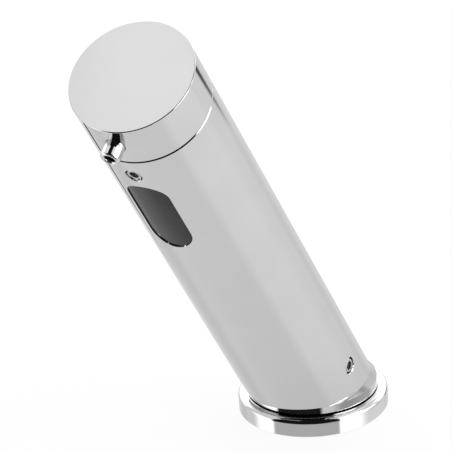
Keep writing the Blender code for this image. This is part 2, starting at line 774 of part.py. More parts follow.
def make_elbow(tube_axis, leg_end, nipple_end):
    """The elbow in the head: a socket over the soap tube and a leg over the nipple."""
    bore = soap_tube_radius + gap
    top = nozzle_height + elbow_leg_radius
    elbow = turned("outlet_elbow", rod_profile(union_radius, elbow_foot, top), small_steps,
                   tube_axis, (0, soap_set_back, 0))
    leg = turned("elbow_leg", rod_profile(elbow_leg_radius, -soap_set_back, leg_end),
                 small_steps, tube_axis, (0, 0, nozzle_height), facing_front)
    join(elbow, leg)
    mouth = elbow_foot + elbow_socket
    ring_height = elbow_foot + small_ring_inset
    half = small_ring_radius + seal_gap
    bed = bore + 2 * small_ring_radius + seal_gap
    way = turned("elbow_way", [(0, elbow_foot - cut_overrun), (bore, elbow_foot - cut_overrun),
                               (bore, ring_height - half), (bed, ring_height - half),
                               (bed, ring_height + half), (bore, ring_height + half),
                               (bore, mouth), (elbow_way_radius, mouth),
                               (elbow_way_radius, nozzle_height), (0, nozzle_height)],
                 small_steps, tube_axis, (0, soap_set_back, 0))
    cut(elbow, way)
    inner = nozzle_nipple_radius + gap
    leg_way = turned("elbow_leg_way", [(0, -soap_set_back), (elbow_way_radius, -soap_set_back),
                                       (elbow_way_radius, nipple_end - gap),
                                       (inner, nipple_end - gap),
                                       (inner, leg_end + cut_overrun),
                                       (0, leg_end + cut_overrun)],
                     small_steps, tube_axis, (0, 0, nozzle_height), facing_front)
    cut(elbow, leg_way)
    pale_plastic(elbow)
    ring = make_object("elbow_ring", ring_mesh(bore + small_ring_radius, small_ring_radius,
                                               ring_height, small_steps, 6),
                       tube_axis, (0, soap_set_back, 0))
    rubber(ring)


def make_lock_screw(name, tube_axis, rotation, height):
    """A cup-point grub screw with a hexagon socket, turned about its own Z."""
    tip = bore_radius
    end = body_radius - screw_sink
    screw = turned(name, rod_profile(screw_radius, tip, end, screw_chamfer), small_steps,
                   tube_axis, (0, 0, height), rotation)
    corner = screw_hex_width / 2 / cos(radians(30))
    outline = [(corner * cos(radians(60 * side)), corner * sin(radians(60 * side)))
               for side in range(6)]
    socket = prism(name + "_socket", outline, end - screw_hex_depth, end + cut_overrun,
                   tube_axis, (0, 0, height), rotation)
    cut(screw, socket)
    steel(screw)


def main():
    remove_startup_objects()
    tube_axis = make_empty("tube_axis", (0, axis_set_back, 0), (lean, 0, 0))
    make_flange()
    make_core(tube_axis)
    make_soap_way(tube_axis)
    make_lead(tube_axis)
    make_tube(tube_axis)
    make_window(tube_axis)
    make_sensor(tube_axis)
    head = make_head(tube_axis)
    make_head_pieces(tube_axis, head)
    make_lock_screw("head_lock_screw", tube_axis, facing_front, head_screw_height)
    make_lock_screw("foot_lock_screw", tube_axis, facing_side, foot_screw_height)


main()
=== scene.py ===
from math import cos, pi, radians, sin, sqrt

import bmesh
import bpy
from mathutils import Matrix, Vector


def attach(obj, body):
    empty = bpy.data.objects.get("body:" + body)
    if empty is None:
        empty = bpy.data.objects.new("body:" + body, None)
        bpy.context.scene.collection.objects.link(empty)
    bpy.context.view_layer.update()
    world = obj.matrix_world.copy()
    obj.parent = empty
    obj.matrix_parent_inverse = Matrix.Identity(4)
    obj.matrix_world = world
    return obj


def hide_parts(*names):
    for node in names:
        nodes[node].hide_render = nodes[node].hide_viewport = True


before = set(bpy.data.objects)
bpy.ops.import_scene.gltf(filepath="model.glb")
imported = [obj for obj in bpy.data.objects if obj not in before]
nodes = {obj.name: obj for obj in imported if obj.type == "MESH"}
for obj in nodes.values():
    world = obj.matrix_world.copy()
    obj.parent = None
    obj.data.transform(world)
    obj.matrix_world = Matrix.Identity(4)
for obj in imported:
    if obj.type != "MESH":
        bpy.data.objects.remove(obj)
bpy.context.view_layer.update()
print("frame loaded:", len(nodes), "nodes")

mm = 0.001
nowhere = Matrix.Identity(4)

# The tube's own frame: Z runs up its axis, -Y looks forward out of it
leaning = {"angle": radians(33.9), "setBack": 4.55 * mm}
tubeFrame = (Matrix.Translation((0, leaning["setBack"], 0))
             @ Matrix.Rotation(leaning["angle"], 4, "X"))
facingFront = Matrix.Rotation(radians(90), 4, "X")
facingSide = Matrix.Rotation(radians(90), 4, "Y")


def at(height, turn=nowhere):
    return tubeFrame @ Matrix.Translation((0, 0, height)) @ turn


# Forms that cut one another are turned a little, so that no edges of theirs coincide
def partOfStep(part, steps):
    return Matrix.Rotation(2 * pi / part / steps, 4, "Z")


overrun = 3 * mm            # of a cutter past the wall it cuts

# Points closer than the weld are merged. A face counts as part of a turned form where it
# points along the axis by no more than steepest, with its points on a wanted radius to within
# onWall. It counts as the fillet where its slope is the fillet's to within filletSlack.
meshing = {"weld": 0.002 * mm, "steepest": 0.97, "onWall": 0.01 * mm, "filletSlack": 0.01}


def arcPoints(centreR, centreZ, radius, start, end, steps):
    points = []
    for step in range(steps + 1):
        angle = radians(start + (end - start) * step / steps)
        points.append((centreR + radius * cos(angle), centreZ + radius * sin(angle)))
    return points


def linkMesh(name, mesh):
    piece = bpy.data.objects.new(name, mesh)
    bpy.context.scene.collection.objects.link(piece)
    return piece


def finishMesh(name, bm, place):
    bmesh.ops.remove_doubles(bm, verts=bm.verts[:], dist=meshing["weld"])
    bmesh.ops.recalc_face_normals(bm, faces=bm.faces[:])
    bm.transform(place)
    mesh = bpy.data.meshes.new(name)
    bm.to_mesh(mesh)
    bm.free()
    return mesh


def turnedPiece(name, profile, steps, place=nowhere):
    bm = bmesh.new()
    verts = [bm.verts.new((r, 0, z)) for r, z in profile]
    for first, second in zip(verts, verts[1:]):
        bm.edges.new((first, second))
    if profile[0][0] > 0 or profile[-1][0] > 0:
        bm.edges.new((verts[-1], verts[0]))
    bmesh.ops.spin(bm, geom=bm.verts[:] + bm.edges[:], cent=(0, 0, 0), axis=(0, 0, 1),
                   dvec=(0, 0, 0), angle=2 * pi, steps=steps, use_merge=True)
    return linkMesh(name, finishMesh(name, bm, place))


def prismPiece(name, outline, low, high, place=nowhere):
    bm = bmesh.new()
    face = bm.faces.new([bm.verts.new((x, y, low)) for x, y in outline])
    moved = bmesh.ops.extrude_face_region(bm, geom=[face])
    verts = [part for part in moved["geom"] if isinstance(part, bmesh.types.BMVert)]
    bmesh.ops.translate(bm, verts=verts, vec=(0, 0, high - low))
    return linkMesh(name, finishMesh(name, bm, place))


def ovalOutline(halfLength, halfWidth, steps):
    points = []
    straight = halfLength - halfWidth
    for end, start in ((straight, 0), (-straight, 180)):
        for step in range(steps + 1):
            angle = radians(start + 180 * step / steps)
            points.append((halfWidth * cos(angle), end + halfWidth * sin(angle)))
    return points


def combine(piece, other, operation="DIFFERENCE"):
    modifier = piece.modifiers.new("cut", "BOOLEAN")
    modifier.operation = operation
    modifier.solver = "EXACT"
    modifier.object = other
    other.hide_render = True


def plainMesh(piece, *cutters):
    # What the modifiers make becomes the piece's mesh
    bpy.context.view_layer.update()
    shown = piece.evaluated_get(bpy.context.evaluated_depsgraph_get())
    mesh = bpy.data.meshes.new_from_object(shown)
    mesh.name = piece.name
    piece.modifiers.clear()
    piece.data = mesh
    for cutter in cutters:
        bpy.data.objects.remove(cutter, do_unlink=True)


def smooth(piece, angle=28):
    piece.data.shade_smooth()
    piece.data.set_sharp_from_angle(angle=radians(angle))


def trueRound(piece, axes, tolerance=3, fillet=None):
    # Faces of a turned form get that form's own normals, so that chrome shows no facets.
    # Each axis comes with the radii that count on it, or None for any. A face that points
    # as steeply as the fillet is shaded as the tube's wall, so that the two run together.
    smooth(piece)
    mesh = piece.data
    normals = [Vector(corner.vector) for corner in mesh.corner_normals]
    limit = cos(radians(tolerance))
    frames = [(place.inverted(), place.to_3x3(), radii) for place, radii in axes]
    for face in mesh.polygons:
        if fillet and abs(face.normal.z - fillet) < meshing["filletSlack"]:
            back, turn = frames[0][:2]
            for corner, index in zip(face.loop_indices, face.vertices):
                out = back @ mesh.vertices[index].co
                normals[corner] = turn @ Vector((out.x, out.y, 0)).normalized()
            continue
        for back, turn, radii in frames:
            points = [back @ mesh.vertices[index].co for index in face.vertices]
            if radii and not all(min(abs(point.xy.length - radius) for radius in radii)
                                 < meshing["onWall"] for point in points):
                continue
            slope = (back.to_3x3() @ face.normal).normalized()
            if abs(slope.z) > meshing["steepest"]:
                continue
            side = sqrt(1 - slope.z ** 2)
            found = []
            for point in points:
                out = Vector((point.x, point.y, 0)).normalized()
                if out.dot(slope) < 0:
                    out.negate()
                exact = out * side + Vector((0, 0, slope.z))
                found.append(exact if exact.dot(slope) > limit else None)
            if all(found):
                for corner, exact in zip(face.loop_indices, found):
                    normals[corner] = turn @ exact
                break
    mesh.normals_split_custom_set(normals)


# Node trees
class Wire:
    def __init__(self, graph, socket):
        self.graph = graph
        self.socket = socket

    def math(self, operation, *others):
        return self.graph.add("ShaderNodeMath", {"operation": operation},
                              dict(enumerate((self, *others))))

    def __add__(self, other):
        return self.math("ADD", other)

    def __sub__(self, other):
        return self.math("SUBTRACT", other)

    def __rsub__(self, other):
        return -self + other

    def __mul__(self, other):
        return self.math("MULTIPLY", other)

    def __truediv__(self, other):
        return self.math("DIVIDE", other)

    def __rtruediv__(self, other):
        return self.math("POWER", -1.0) * other

    def __neg__(self):
        return self.math("MULTIPLY", -1.0)

    def __gt__(self, other):
        return self.math("GREATER_THAN", other)

    def __lt__(self, other):
        return self.math("LESS_THAN", other)

    __radd__ = __add__
    __rmul__ = __mul__


class Graph:
    def __init__(self, tree):
        self.tree = tree

    def add(self, kind, settings=None, values=None, out=0):
        # Settings are set before sockets, because some of them change which sockets there are
        node = self.tree.nodes.new(kind)
        for key, value in (settings or {}).items():
            setattr(node, key, value)
        for key, value in (values or {}).items():
            for item in value if isinstance(value, list) else [value]:
                if isinstance(item, Wire):
                    self.tree.links.new(item.socket, node.inputs[key])
                else:
                    node.inputs[key].default_value = item
        return Wire(self, node.outputs[out]) if node.outputs else None

    def split(self, vector):
        return [self.add("ShaderNodeSeparateXYZ", {}, {"Vector": vector}, out=axis)
                for axis in range(3)]

    def place(self, x, y, z):
        return self.add("ShaderNodeCombineXYZ", {}, {"X": x, "Y": y, "Z": z})

    def noise(self, point, scale, detail=3.0, rough=0.55):
        return self.add("ShaderNodeTexNoise", {}, {"Vector": point, "Scale": scale,
                                                   "Detail": detail, "Roughness": rough})

    def stretched(self, point, turn, scale):
        return self.add("ShaderNodeMapping", {}, {"Vector": point, "Rotation": turn,
                                                  "Scale": scale})

    def mixed(self, factor, *colours):
        first, second = [colour if isinstance(colour, Wire) else (*colour, 1)
                         for colour in colours]
        return self.add("ShaderNodeMix", {"data_type": "RGBA"},
                        {"Factor": factor, 6: first, 7: second}, out=2)

    def span(self, value, low, high, toLow=0.0, toHigh=1.0, curve="LINEAR"):
        return self.add("ShaderNodeMapRange", {"interpolation_type": curve},
                        {"Value": value, "From Min": low, "From Max": high,
                         "To Min": toLow, "To Max": toHigh})

    def bump(self, height, strength, distance):
        return self.add("ShaderNodeBump", {}, {"Height": height, "Strength": strength,
                                               "Distance": distance})


def grownPiece(name, sizes, build, look, place):
    # Geometry Nodes: build(graph, sockets) returns the shape, sizes become the tree's inputs
    tree = bpy.data.node_groups.new(name + "Tree", "GeometryNodeTree")
    tree.interface.new_socket("Shape", in_out="OUTPUT", socket_type="NodeSocketGeometry")
    identifiers = {}
    for key, value in sizes.items():
        kind = "NodeSocketInt" if isinstance(value, int) else "NodeSocketFloat"
        identifiers[key] = tree.interface.new_socket(key, in_out="INPUT",
                                                     socket_type=kind).identifier
    graph = Graph(tree)
    given = tree.nodes.new("NodeGroupInput")
    sockets = {key: Wire(graph, given.outputs[key]) for key in sizes}
    whole = graph.add("GeometryNodeRealizeInstances", {},
                      {"Geometry": build(graph, sockets)})
    coated = graph.add("GeometryNodeSetMaterial", {}, {"Geometry": whole,
                                                       "Material": looks[look]})
    graph.add("NodeGroupOutput", {}, {"Shape": coated})
    piece = linkMesh(name, bpy.data.meshes.new(name))
    modifier = piece.modifiers.new(name + "Nodes", "NODES")
    modifier.node_group = tree
    for key, identifier in identifiers.items():
        modifier[identifier] = sizes[key]
    plainMesh(piece)
    bm = bmesh.new()
    bm.from_mesh(piece.data)
    piece.data = finishMesh(name, bm, place)
    return piece


# Finishes
def coat(name, values):
    # values(graph, point) gives the sockets of the finish, point is the place on the object
    material = bpy.data.materials.new(name)
    material.use_nodes = True
    material.node_tree.nodes.clear()
    graph = Graph(material.node_tree)
    point = graph.add("ShaderNodeTexCoord", out="Object")
    surface = graph.add("ShaderNodeBsdfPrincipled", {}, values(graph, point))
    graph.add("ShaderNodeOutputMaterial", {}, {"Surface": surface})
    return material


evenSpread = (0.3, 0.7)     # the part of a noise's range that is spread out over a look

# The last keys darken the chrome's colour towards the tube's foot: painted shade, standing in
# for the shadowed floor the chrome would reflect there.
chromeLook = {"bright": (0.560, 0.560, 0.560), "deep": (0.538, 0.538, 0.540),
              "rough": (0.035, 0.085), "spread": (0.35, 0.7), "cloudScale": 45.0,
              "speckScale": 900.0, "speckShare": 0.3, "wipeStretch": (260, 260, 12),
              "wipeScale": 4.0, "wipeShare": 0.4, "relief": (0.02, 0.02 * mm),
              "footShadeFactor": 0.86, "footShadeLow": 9.3 * mm, "footShadeStart": 9.8 * mm,
              "footShadeMiddle": 35 * mm, "footShadeHigh": 130 * mm, "footShadeHighShare": 0.45}


def polishedChrome(graph, point):
    c = chromeLook
    clouds = graph.noise(point, c["cloudScale"], detail=4.0)
    specks = graph.noise(point, c["speckScale"], detail=2.0)
    wiped = graph.noise(graph.stretched(point, (leaning["angle"], 0, 0), c["wipeStretch"]),
                        c["wipeScale"])
    height = graph.split(point)[2]          # painted shade: darker towards the tube's foot
    footShade = (graph.span(height, c["footShadeHigh"], c["footShadeMiddle"]) * c["footShadeHighShare"]
            + graph.span(height, c["footShadeMiddle"], c["footShadeLow"]) * (1 - c["footShadeHighShare"]))
    footShade = footShade * graph.span(height, c["footShadeLow"], c["footShadeStart"])
    clean = graph.mixed(graph.span(clouds, *c["spread"]), c["bright"], c["deep"])
    # The painted shade's colour: the bright chrome darkened, mixed in towards the foot.
    footShadeColour = tuple(part * c["footShadeFactor"] for part in c["bright"])
    handled = clouds * (1 - c["wipeShare"]) + wiped * c["wipeShare"]
    uneven = specks * c["speckShare"] + wiped * (1 - c["speckShare"])
    return {"Base Color": graph.mixed(footShade, clean, footShadeColour), "Metallic": 1.0,
            "Roughness": graph.span(handled, *c["spread"], *c["rough"]),
            "Normal": graph.bump(uneven, *c["relief"])}


steelLook = {"bright": (0.50, 0.50, 0.51), "deep": (0.40, 0.40, 0.41), "rough": (0.10, 0.24),
             "grainScale": 1400.0, "relief": (0.15, 0.02 * mm)}


def screwSteel(graph, point):
    grain = graph.noise(point, steelLook["grainScale"])
    return {"Base Color": graph.mixed(graph.span(grain, *evenSpread), steelLook["bright"],
                                      steelLook["deep"]),
            "Metallic": 1.0, "Roughness": graph.span(grain, *evenSpread, *steelLook["rough"]),
            "Normal": graph.bump(grain, *steelLook["relief"])}


rubberLook = {"black": (0.012, 0.012, 0.013), "bloom": (0.030, 0.030, 0.031),
              "rough": (0.55, 0.75), "bloomScale": 160.0, "bloomSpread": (0.35, 0.75),
              "grainScale": 2200.0, "relief": (0.35, 0.03 * mm)}


def blackRubber(graph, point):
    bloom = graph.noise(point, rubberLook["bloomScale"])
    grain = graph.noise(point, rubberLook["grainScale"], detail=4.0)
    return {"Base Color": graph.mixed(graph.span(bloom, *rubberLook["bloomSpread"]),
                                      rubberLook["black"], rubberLook["bloom"]),
            "Roughness": graph.span(bloom, *evenSpread, *rubberLook["rough"]),
            "Normal": graph.bump(grain, *rubberLook["relief"])}


windowLook = {"dark": (0.013, 0.013, 0.015), "hazed": (0.020, 0.019, 0.022),
              "rough": (0.03, 0.07), "hazeScale": 120.0, "index": 1.28}


def windowGloss(graph, point):
    haze = graph.noise(point, windowLook["hazeScale"], detail=4.0)
    return {"Base Color": graph.mixed(graph.span(haze, *evenSpread), windowLook["dark"],
                                      windowLook["hazed"]),
            "Roughness": graph.span(haze, *evenSpread, *windowLook["rough"]),
            "IOR": windowLook["index"]}


# The two shades of each plastic and its roughness, then what all of them share
plasticLook = {"dark": ((0.028, 0.028, 0.030), (0.020, 0.020, 0.021), 0.42),
               "pale": ((0.72, 0.73, 0.71), (0.64, 0.65, 0.63), 0.42),
               "jacket": ((0.018, 0.018, 0.020), (0.026, 0.026, 0.028), 0.50)}
plasticSkin = {"flowScale": 90.0, "roughSlack": 0.06, "grainScale": 1500.0,
               "relief": (0.25, 0.03 * mm)}


def mouldedPlastic(shade):
    colour, deep, rough = plasticLook[shade]
    slack = plasticSkin["roughSlack"]

    def values(graph, point):
        flow = graph.span(graph.noise(point, plasticSkin["flowScale"]), *evenSpread)
        grain = graph.noise(point, plasticSkin["grainScale"], detail=4.0)
        return {"Base Color": graph.mixed(flow, colour, deep),
                "Roughness": graph.span(flow, 0.0, 1.0, rough - slack, rough + slack),
                "Normal": graph.bump(grain, *plasticSkin["relief"])}
    return values


siliconeLook = {"clear": (0.80, 0.81, 0.80), "cloudy": (0.70, 0.71, 0.70),
                "rough": (0.3, 0.45), "flowScale": 300.0, "glow": 0.2,
                "glowDepth": 0.5 * mm}


def siliconeSkin(graph, point):
    flow = graph.noise(point, siliconeLook["flowScale"])
    return {"Base Color": graph.mixed(flow, siliconeLook["clear"], siliconeLook["cloudy"]),
            "Roughness": graph.span(flow, *evenSpread, *siliconeLook["rough"]),
            "Subsurface Weight": siliconeLook["glow"],
            "Subsurface Scale": siliconeLook["glowDepth"]}


hoseLook = {"clear": (0.82, 0.84, 0.83), "milky": (0.72, 0.74, 0.73), "rough": (0.24, 0.36),
            "streakStretch": (900, 900, 30), "streakScale": 1.0}


def soapHose(graph, point):
    along = graph.stretched(point, (leaning["angle"], 0, 0), hoseLook["streakStretch"])
    streaks = graph.span(graph.noise(along, hoseLook["streakScale"]), *evenSpread)
    return {"Base Color": graph.mixed(streaks, hoseLook["clear"], hoseLook["milky"]),
            "Roughness": graph.span(streaks, 0.0, 1.0, *hoseLook["rough"])}


boardLook = {"bare": (0.010, 0.090, 0.035), "track": (0.018, 0.150, 0.060), "rough": 0.35,
             "scale": 900.0, "gap": 0.06, "rows": ((1, 1, 1, 1), (0.4, 0.4, 0.4, 1)),
             "relief": (0.3, 0.04 * mm)}


def circuitBoard(graph, point):
    b = boardLook
    upright = graph.stretched(point, (-leaning["angle"], 0, 0), (1, 1, 1))
    tracks = graph.add("ShaderNodeTexBrick", {"offset": 0.5},
                       {"Vector": upright, "Scale": b["scale"], "Color1": b["rows"][0],
                        "Color2": b["rows"][1], "Mortar": (0, 0, 0, 1),
                        "Mortar Size": b["gap"]})
    return {"Base Color": graph.mixed(tracks, b["bare"], b["track"]),
            "Roughness": b["rough"], "Normal": graph.bump(tracks, *b["relief"])}


eyeLook = {"emitter": (0.10, 0.05, 0.13), "receiver": (0.03, 0.03, 0.035), "deepShade": 0.6,
           "rough": (0.06, 0.12), "swirlScale": 500.0, "coat": 0.6}


def eyeResin(kind):
    colour = eyeLook[kind]
    deep = tuple(eyeLook["deepShade"] * part for part in colour)

    def values(graph, point):
        swirl = graph.noise(point, eyeLook["swirlScale"], detail=2.0)
        return {"Base Color": graph.mixed(swirl, colour, deep),
                "Roughness": graph.span(swirl, *evenSpread, *eyeLook["rough"]),
                "Coat Weight": eyeLook["coat"]}
    return values


looks = {
    "chrome": coat("polishedChrome", polishedChrome),
    "steel": coat("screwSteel", screwSteel),
    "rubber": coat("blackRubber", blackRubber),
    "window": coat("windowGloss", windowGloss),
    "silicone": coat("siliconeSkin", siliconeSkin),
    "hose": coat("soapHose", soapHose),
    "board": coat("circuitBoard", circuitBoard),
    "darkPlastic": coat("darkPlastic", mouldedPlastic("dark")),
    "palePlastic": coat("palePlastic", mouldedPlastic("pale")),
    "leadJacket": coat("leadJacket", mouldedPlastic("jacket")),
    "emitterResin": coat("emitterResin", eyeResin("emitter")),
    "receiverResin": coat("receiverResin", eyeResin("receiver"))}
print("finishes made:", len(looks))

nodeLook = {
    "base_core": "chrome", "deck_gasket": "rubber", "collar_seal": "rubber",
    "spigot_ring_lower": "rubber", "spigot_ring_upper": "rubber", "inlet_union": "palePlastic",
    "inlet_ring": "rubber", "soap_tube": "hose", "lead_gland": "rubber",
    "sensor_lead": "leadJacket", "lead_plug": "palePlastic", "window_gasket": "rubber",
    "sensor_housing": "darkPlastic", "housing_cover": "darkPlastic", "sensor_board": "board",
    "ir_emitter": "emitterResin", "ir_receiver": "receiverResin",
    "housing_screw_upper": "steel", "housing_screw_lower": "steel",
    "lead_socket": "darkPlastic", "sensor_carrier": "palePlastic", "head_ring": "rubber",
    "nozzle_ring": "rubber", "drip_valve": "silicone", "outlet_elbow": "palePlastic",
    "elbow_ring": "rubber", "body_tube": "chrome", "head_cap": "chrome", "nozzle": "chrome",
    "base_flange": "chrome", "sensor_window": "window", "head_lock_screw": "steel",
    "foot_lock_screw": "steel"}
for nodeName, look in nodeLook.items():
    mesh = nodes[nodeName].data
    mesh.materials.clear()
    mesh.materials.append(looks[look])
print("solids coated:", len(nodeLook))


def dress(piece, body, node):
    piece.data.materials.clear()
    piece.data.materials.append(looks[nodeLook[node]])
    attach(piece, body)
    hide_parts(node)
    print("piece made:", piece.name, len(piece.data.polygons), "faces")


# Deck flange, with its gasket's bed underneath and its seal's seat on top
flange = {"radius": 24.95 * mm, "height": 6.4 * mm, "edge": 1.75 * mm, "footChamfer": 0.3 * mm,
          "inner": 18.3 * mm, "bedInner": 19.0 * mm, "bedOuter": 22.8 * mm,
          "bedRoof": 1.7 * mm, "seatRadius": 20.6 * mm, "seatSink": 0.9 * mm, "steps": 256,
          "edgeSteps": 14}


def makeFlange():
    f = flange
    top = f["height"]
    profile = [(f["inner"], 0), (f["bedInner"], 0), (f["bedInner"], f["bedRoof"]),
               (f["bedOuter"], f["bedRoof"]), (f["bedOuter"], 0),
               (f["radius"] - f["footChamfer"], 0), (f["radius"], f["footChamfer"])]
    profile += arcPoints(f["radius"] - f["edge"], top - f["edge"], f["edge"], 0, 90,
                         f["edgeSteps"])
    profile += [(f["seatRadius"], top), (f["seatRadius"], top - f["seatSink"]),
                (f["inner"], top - f["seatSink"])]
    piece = turnedPiece("deckFlange", profile, f["steps"])
    trueRound(piece, [(nowhere, None)])
    dress(piece, "base", "base_flange")


# Tube with its upright collar, the window's opening and the two screw holes
tube = {"radius": 20 * mm, "bore": 16 * mm, "seam": 175.2 * mm, "rim": 0.25 * mm,
        "start": -20 * mm, "steps": 256}
collar = {"radius": 21.8 * mm, "floor": 6.85 * mm, "topRadius": 21.51 * mm, "top": 9.48 * mm,
          "ledge": 9.53 * mm, "ledgeSlope": 0.85, "blank": 25.1 * mm, "inner": 18.5 * mm,
          "rise": 0.333, "far": 80 * mm}
screwHole = {"radius": 2.8 * mm, "inside": 13 * mm, "headSeat": 0.15 * mm,
             "footSeat": 0.3 * mm, "headAt": 167.6 * mm, "footAt": 27.1 * mm, "turn": 2.3,
             "steps": 64}
window = {"height": 144.5 * mm, "halfLength": 17.15 * mm, "halfWidth": 7.1 * mm,
          "inside": 13 * mm, "outside": 24 * mm, "steps": 48}


def screwHoleCutter(name, seat, place):
    s = screwHole
    outer, wide = tube["radius"], s["radius"] + seat
    profile = [(0, s["inside"]), (s["radius"], s["inside"]), (s["radius"], outer - seat),
               (wide, outer), (wide, outer + overrun), (0, outer + overrun)]
    return turnedPiece(name, profile, s["steps"],
                       place @ Matrix.Rotation(radians(s["turn"]), 4, "Z"))


def makeTube():
    t, c = tube, collar
    radius, seam, rim, far = t["radius"], t["seam"], t["rim"], c["far"]
    halfStep, thirdStep = partOfStep(2, t["steps"]), partOfStep(3, t["steps"])
    piece = turnedPiece("bodyTube", [(0, t["start"]), (radius, t["start"]),
                                     (radius, seam - rim), (radius - rim, seam), (0, seam)],
                        t["steps"], tubeFrame @ thirdStep)
    ledgeOut = c["ledge"] - c["ledgeSlope"] * (c["blank"] - c["topRadius"])
    ledgeIn = c["ledge"] + c["ledgeSlope"] * (c["topRadius"] - c["inner"])
    blank = turnedPiece("collarBlank", [(0, 0), (c["blank"], 0), (c["blank"], ledgeOut),
                                        (c["inner"], ledgeIn), (0, ledgeIn)], t["steps"])
    under = turnedPiece("collarUnder", [(0, -far), (far, -far),
                                        (far, c["top"] + c["rise"] * (far - c["topRadius"])),
                                        (c["topRadius"], c["top"]), (c["radius"], c["floor"]),
                                        (0, c["floor"])], t["steps"], halfStep)
    below, above = t["start"] - overrun, seam + overrun
    bore = turnedPiece("tubeBore", [(0, below), (t["bore"], below), (t["bore"], seam - rim),
                                    (t["bore"] + rim + overrun, above), (0, above)],
                       t["steps"], tubeFrame @ halfStep)
    outline = ovalOutline(window["halfLength"], window["halfWidth"], window["steps"])
    opening = prismPiece("windowOpening", outline, window["inside"], window["outside"],
                         at(window["height"], facingFront))
    headHole = screwHoleCutter("headHole", screwHole["headSeat"],
                               at(screwHole["headAt"], facingFront))
    footHole = screwHoleCutter("footHole", screwHole["footSeat"],
                               at(screwHole["footAt"], facingSide))
    cutters = (under, bore, opening, headHole, footHole)
    combine(piece, blank, "UNION")
    for cutter in cutters:
        combine(piece, cutter)
    plainMesh(piece, blank, *cutters)
    trueRound(piece, [(tubeFrame, (radius, t["bore"])), (nowhere, None), (tubeFrame, None)],
              fillet=1 / sqrt(1 + c["ledgeSlope"] ** 2))
    dress(piece, "spout", "body_tube")


# Window: a flat oval bent to the tube, its front edge rounded, on a wider rim that holds it
# behind the wall
plate = {"halfLength": 17.05 * mm, "halfWidth": 7.0 * mm, "outer": 19.6 * mm,
         "inner": 14.5 * mm, "edge": 0.15 * mm, "rimGrow": 1.9 * mm, "rimOuter": 15.0 * mm,
         "rimInner": 14.1 * mm, "columns": 97, "rows": 121}
slab = 1 * mm               # how far apart the two faces start, before both are bent


def bentOval(graph, halfLength, halfWidth, outer, inner, columns, rows, edge=0.0):
    flat = graph.add("GeometryNodeMeshGrid", {}, {"Size X": 2.0, "Size Y": 2.0,
                                                  "Vertices X": columns, "Vertices Y": rows})
    across, along, level = graph.split(graph.add("GeometryNodeInputPosition"))
    turn = across * (pi / 2)
    bow = turn.math("COSINE") * halfWidth
    oval = graph.add("GeometryNodeSetPosition", {}, {
        "Geometry": flat,
        "Position": graph.place(turn.math("SINE") * halfWidth,
                                (along * (pi / 2)).math("SINE")
                                * (halfLength - halfWidth + bow), 0.0)})
    raised = graph.add("GeometryNodeExtrudeMesh", {"mode": "FACES"},
                       {"Mesh": oval, "Offset Scale": slab, "Individual": False})
    floor = graph.add("GeometryNodeFlipFaces", {}, {"Mesh": oval})
    solid = graph.add("GeometryNodeJoinGeometry", {}, {"Geometry": [raised, floor]})
    solid = graph.add("GeometryNodeMergeByDistance", {}, {"Geometry": solid,
                                                          "Distance": slab / 1000})
    past = (along.math("ABSOLUTE") - (halfLength - halfWidth)).math("MAXIMUM", 0.0)
    outside = (across * across + past * past).math("SQRT") - (halfWidth - edge)
    outside = outside.math("MAXIMUM", 0.0).math("MINIMUM", edge)
    drop = edge - (edge * edge - outside * outside).math("MAXIMUM", 0.0).math("SQRT")
    radius = inner + (outer - inner - drop) * (level > slab / 2)
    depth = (radius * radius - across * across).math("SQRT")
    return graph.add("GeometryNodeSetPosition", {}, {"Geometry": solid,
                                                     "Position": graph.place(across, along,
                                                                             depth)})


def windowShape(graph, size):
    front = bentOval(graph, size["halfLength"], size["halfWidth"], size["outer"],
                     size["inner"], size["columns"], size["rows"], size["edge"])
    rim = bentOval(graph, size["halfLength"] + size["rimGrow"],
                   size["halfWidth"] + size["rimGrow"], size["rimOuter"], size["rimInner"],
                   size["columns"], size["rows"])
    return graph.add("GeometryNodeMeshBoolean", {"operation": "UNION", "solver": "EXACT"},
                     {"Mesh 2": [front, rim]})


def makeWindow():
    piece = grownPiece("sensorWindow", plate, windowShape, "window",
                       at(window["height"], facingFront))
    trueRound(piece, [(tubeFrame, (plate["outer"],))])
    dress(piece, "spout", "sensor_window")


# Head: a cap with a skirt that drops into the tube, and the ring's bed in the skirt
head = {"height": 16.3 * mm, "skirtFoot": 164.45 * mm, "skirt": 15.7 * mm,
        "cavity": 13.7 * mm, "roof": 3.7 * mm, "edge": 0.3 * mm, "gap": 0.3 * mm,
        "bedLow": 171.75 * mm, "bedHigh": 173.45 * mm, "bedRadius": 14.3 * mm, "steps": 256,
        "edgeSteps": 6}
nozzleHole = {"slack": 0.15 * mm, "seat": 0.1 * mm, "inside": 8 * mm, "steps": 96}


def makeHead():
    h, rim = head, tube["rim"]
    radius, top = tube["radius"], tube["seam"] + h["height"]
    floor = tube["seam"] + h["gap"]
    profile = [(0, top - h["roof"]), (h["cavity"], top - h["roof"]),
               (h["cavity"], h["skirtFoot"]), (h["skirt"] - rim, h["skirtFoot"]),
               (h["skirt"], h["skirtFoot"] + rim), (h["skirt"], h["bedLow"]),
               (h["bedRadius"], h["bedLow"]), (h["bedRadius"], h["bedHigh"]),
               (h["skirt"], h["bedHigh"]), (h["skirt"], floor), (radius - rim, floor),
               (radius, floor + rim)]
    profile += arcPoints(radius - h["edge"], top - h["edge"], h["edge"], 0, 90,
                         h["edgeSteps"])
    profile.append((0, top))
    thirdStep = partOfStep(3, h["steps"])
    piece = turnedPiece("headCap", profile, h["steps"], tubeFrame @ thirdStep)
    bore, seat = nozzle["radius"] + nozzleHole["slack"], nozzleHole["seat"]
    hole = turnedPiece("nozzleHole", [(0, nozzleHole["inside"]), (bore, nozzleHole["inside"]),
                                      (bore, radius - seat), (bore + seat, radius),
                                      (bore + seat, radius + overrun), (0, radius + overrun)],
                       nozzleHole["steps"], at(nozzle["height"], facingFront @ thirdStep))
    combine(piece, hole)
    plainMesh(piece, hole)
    trueRound(piece, [(tubeFrame, None)])
    dress(piece, "head", "head_cap")


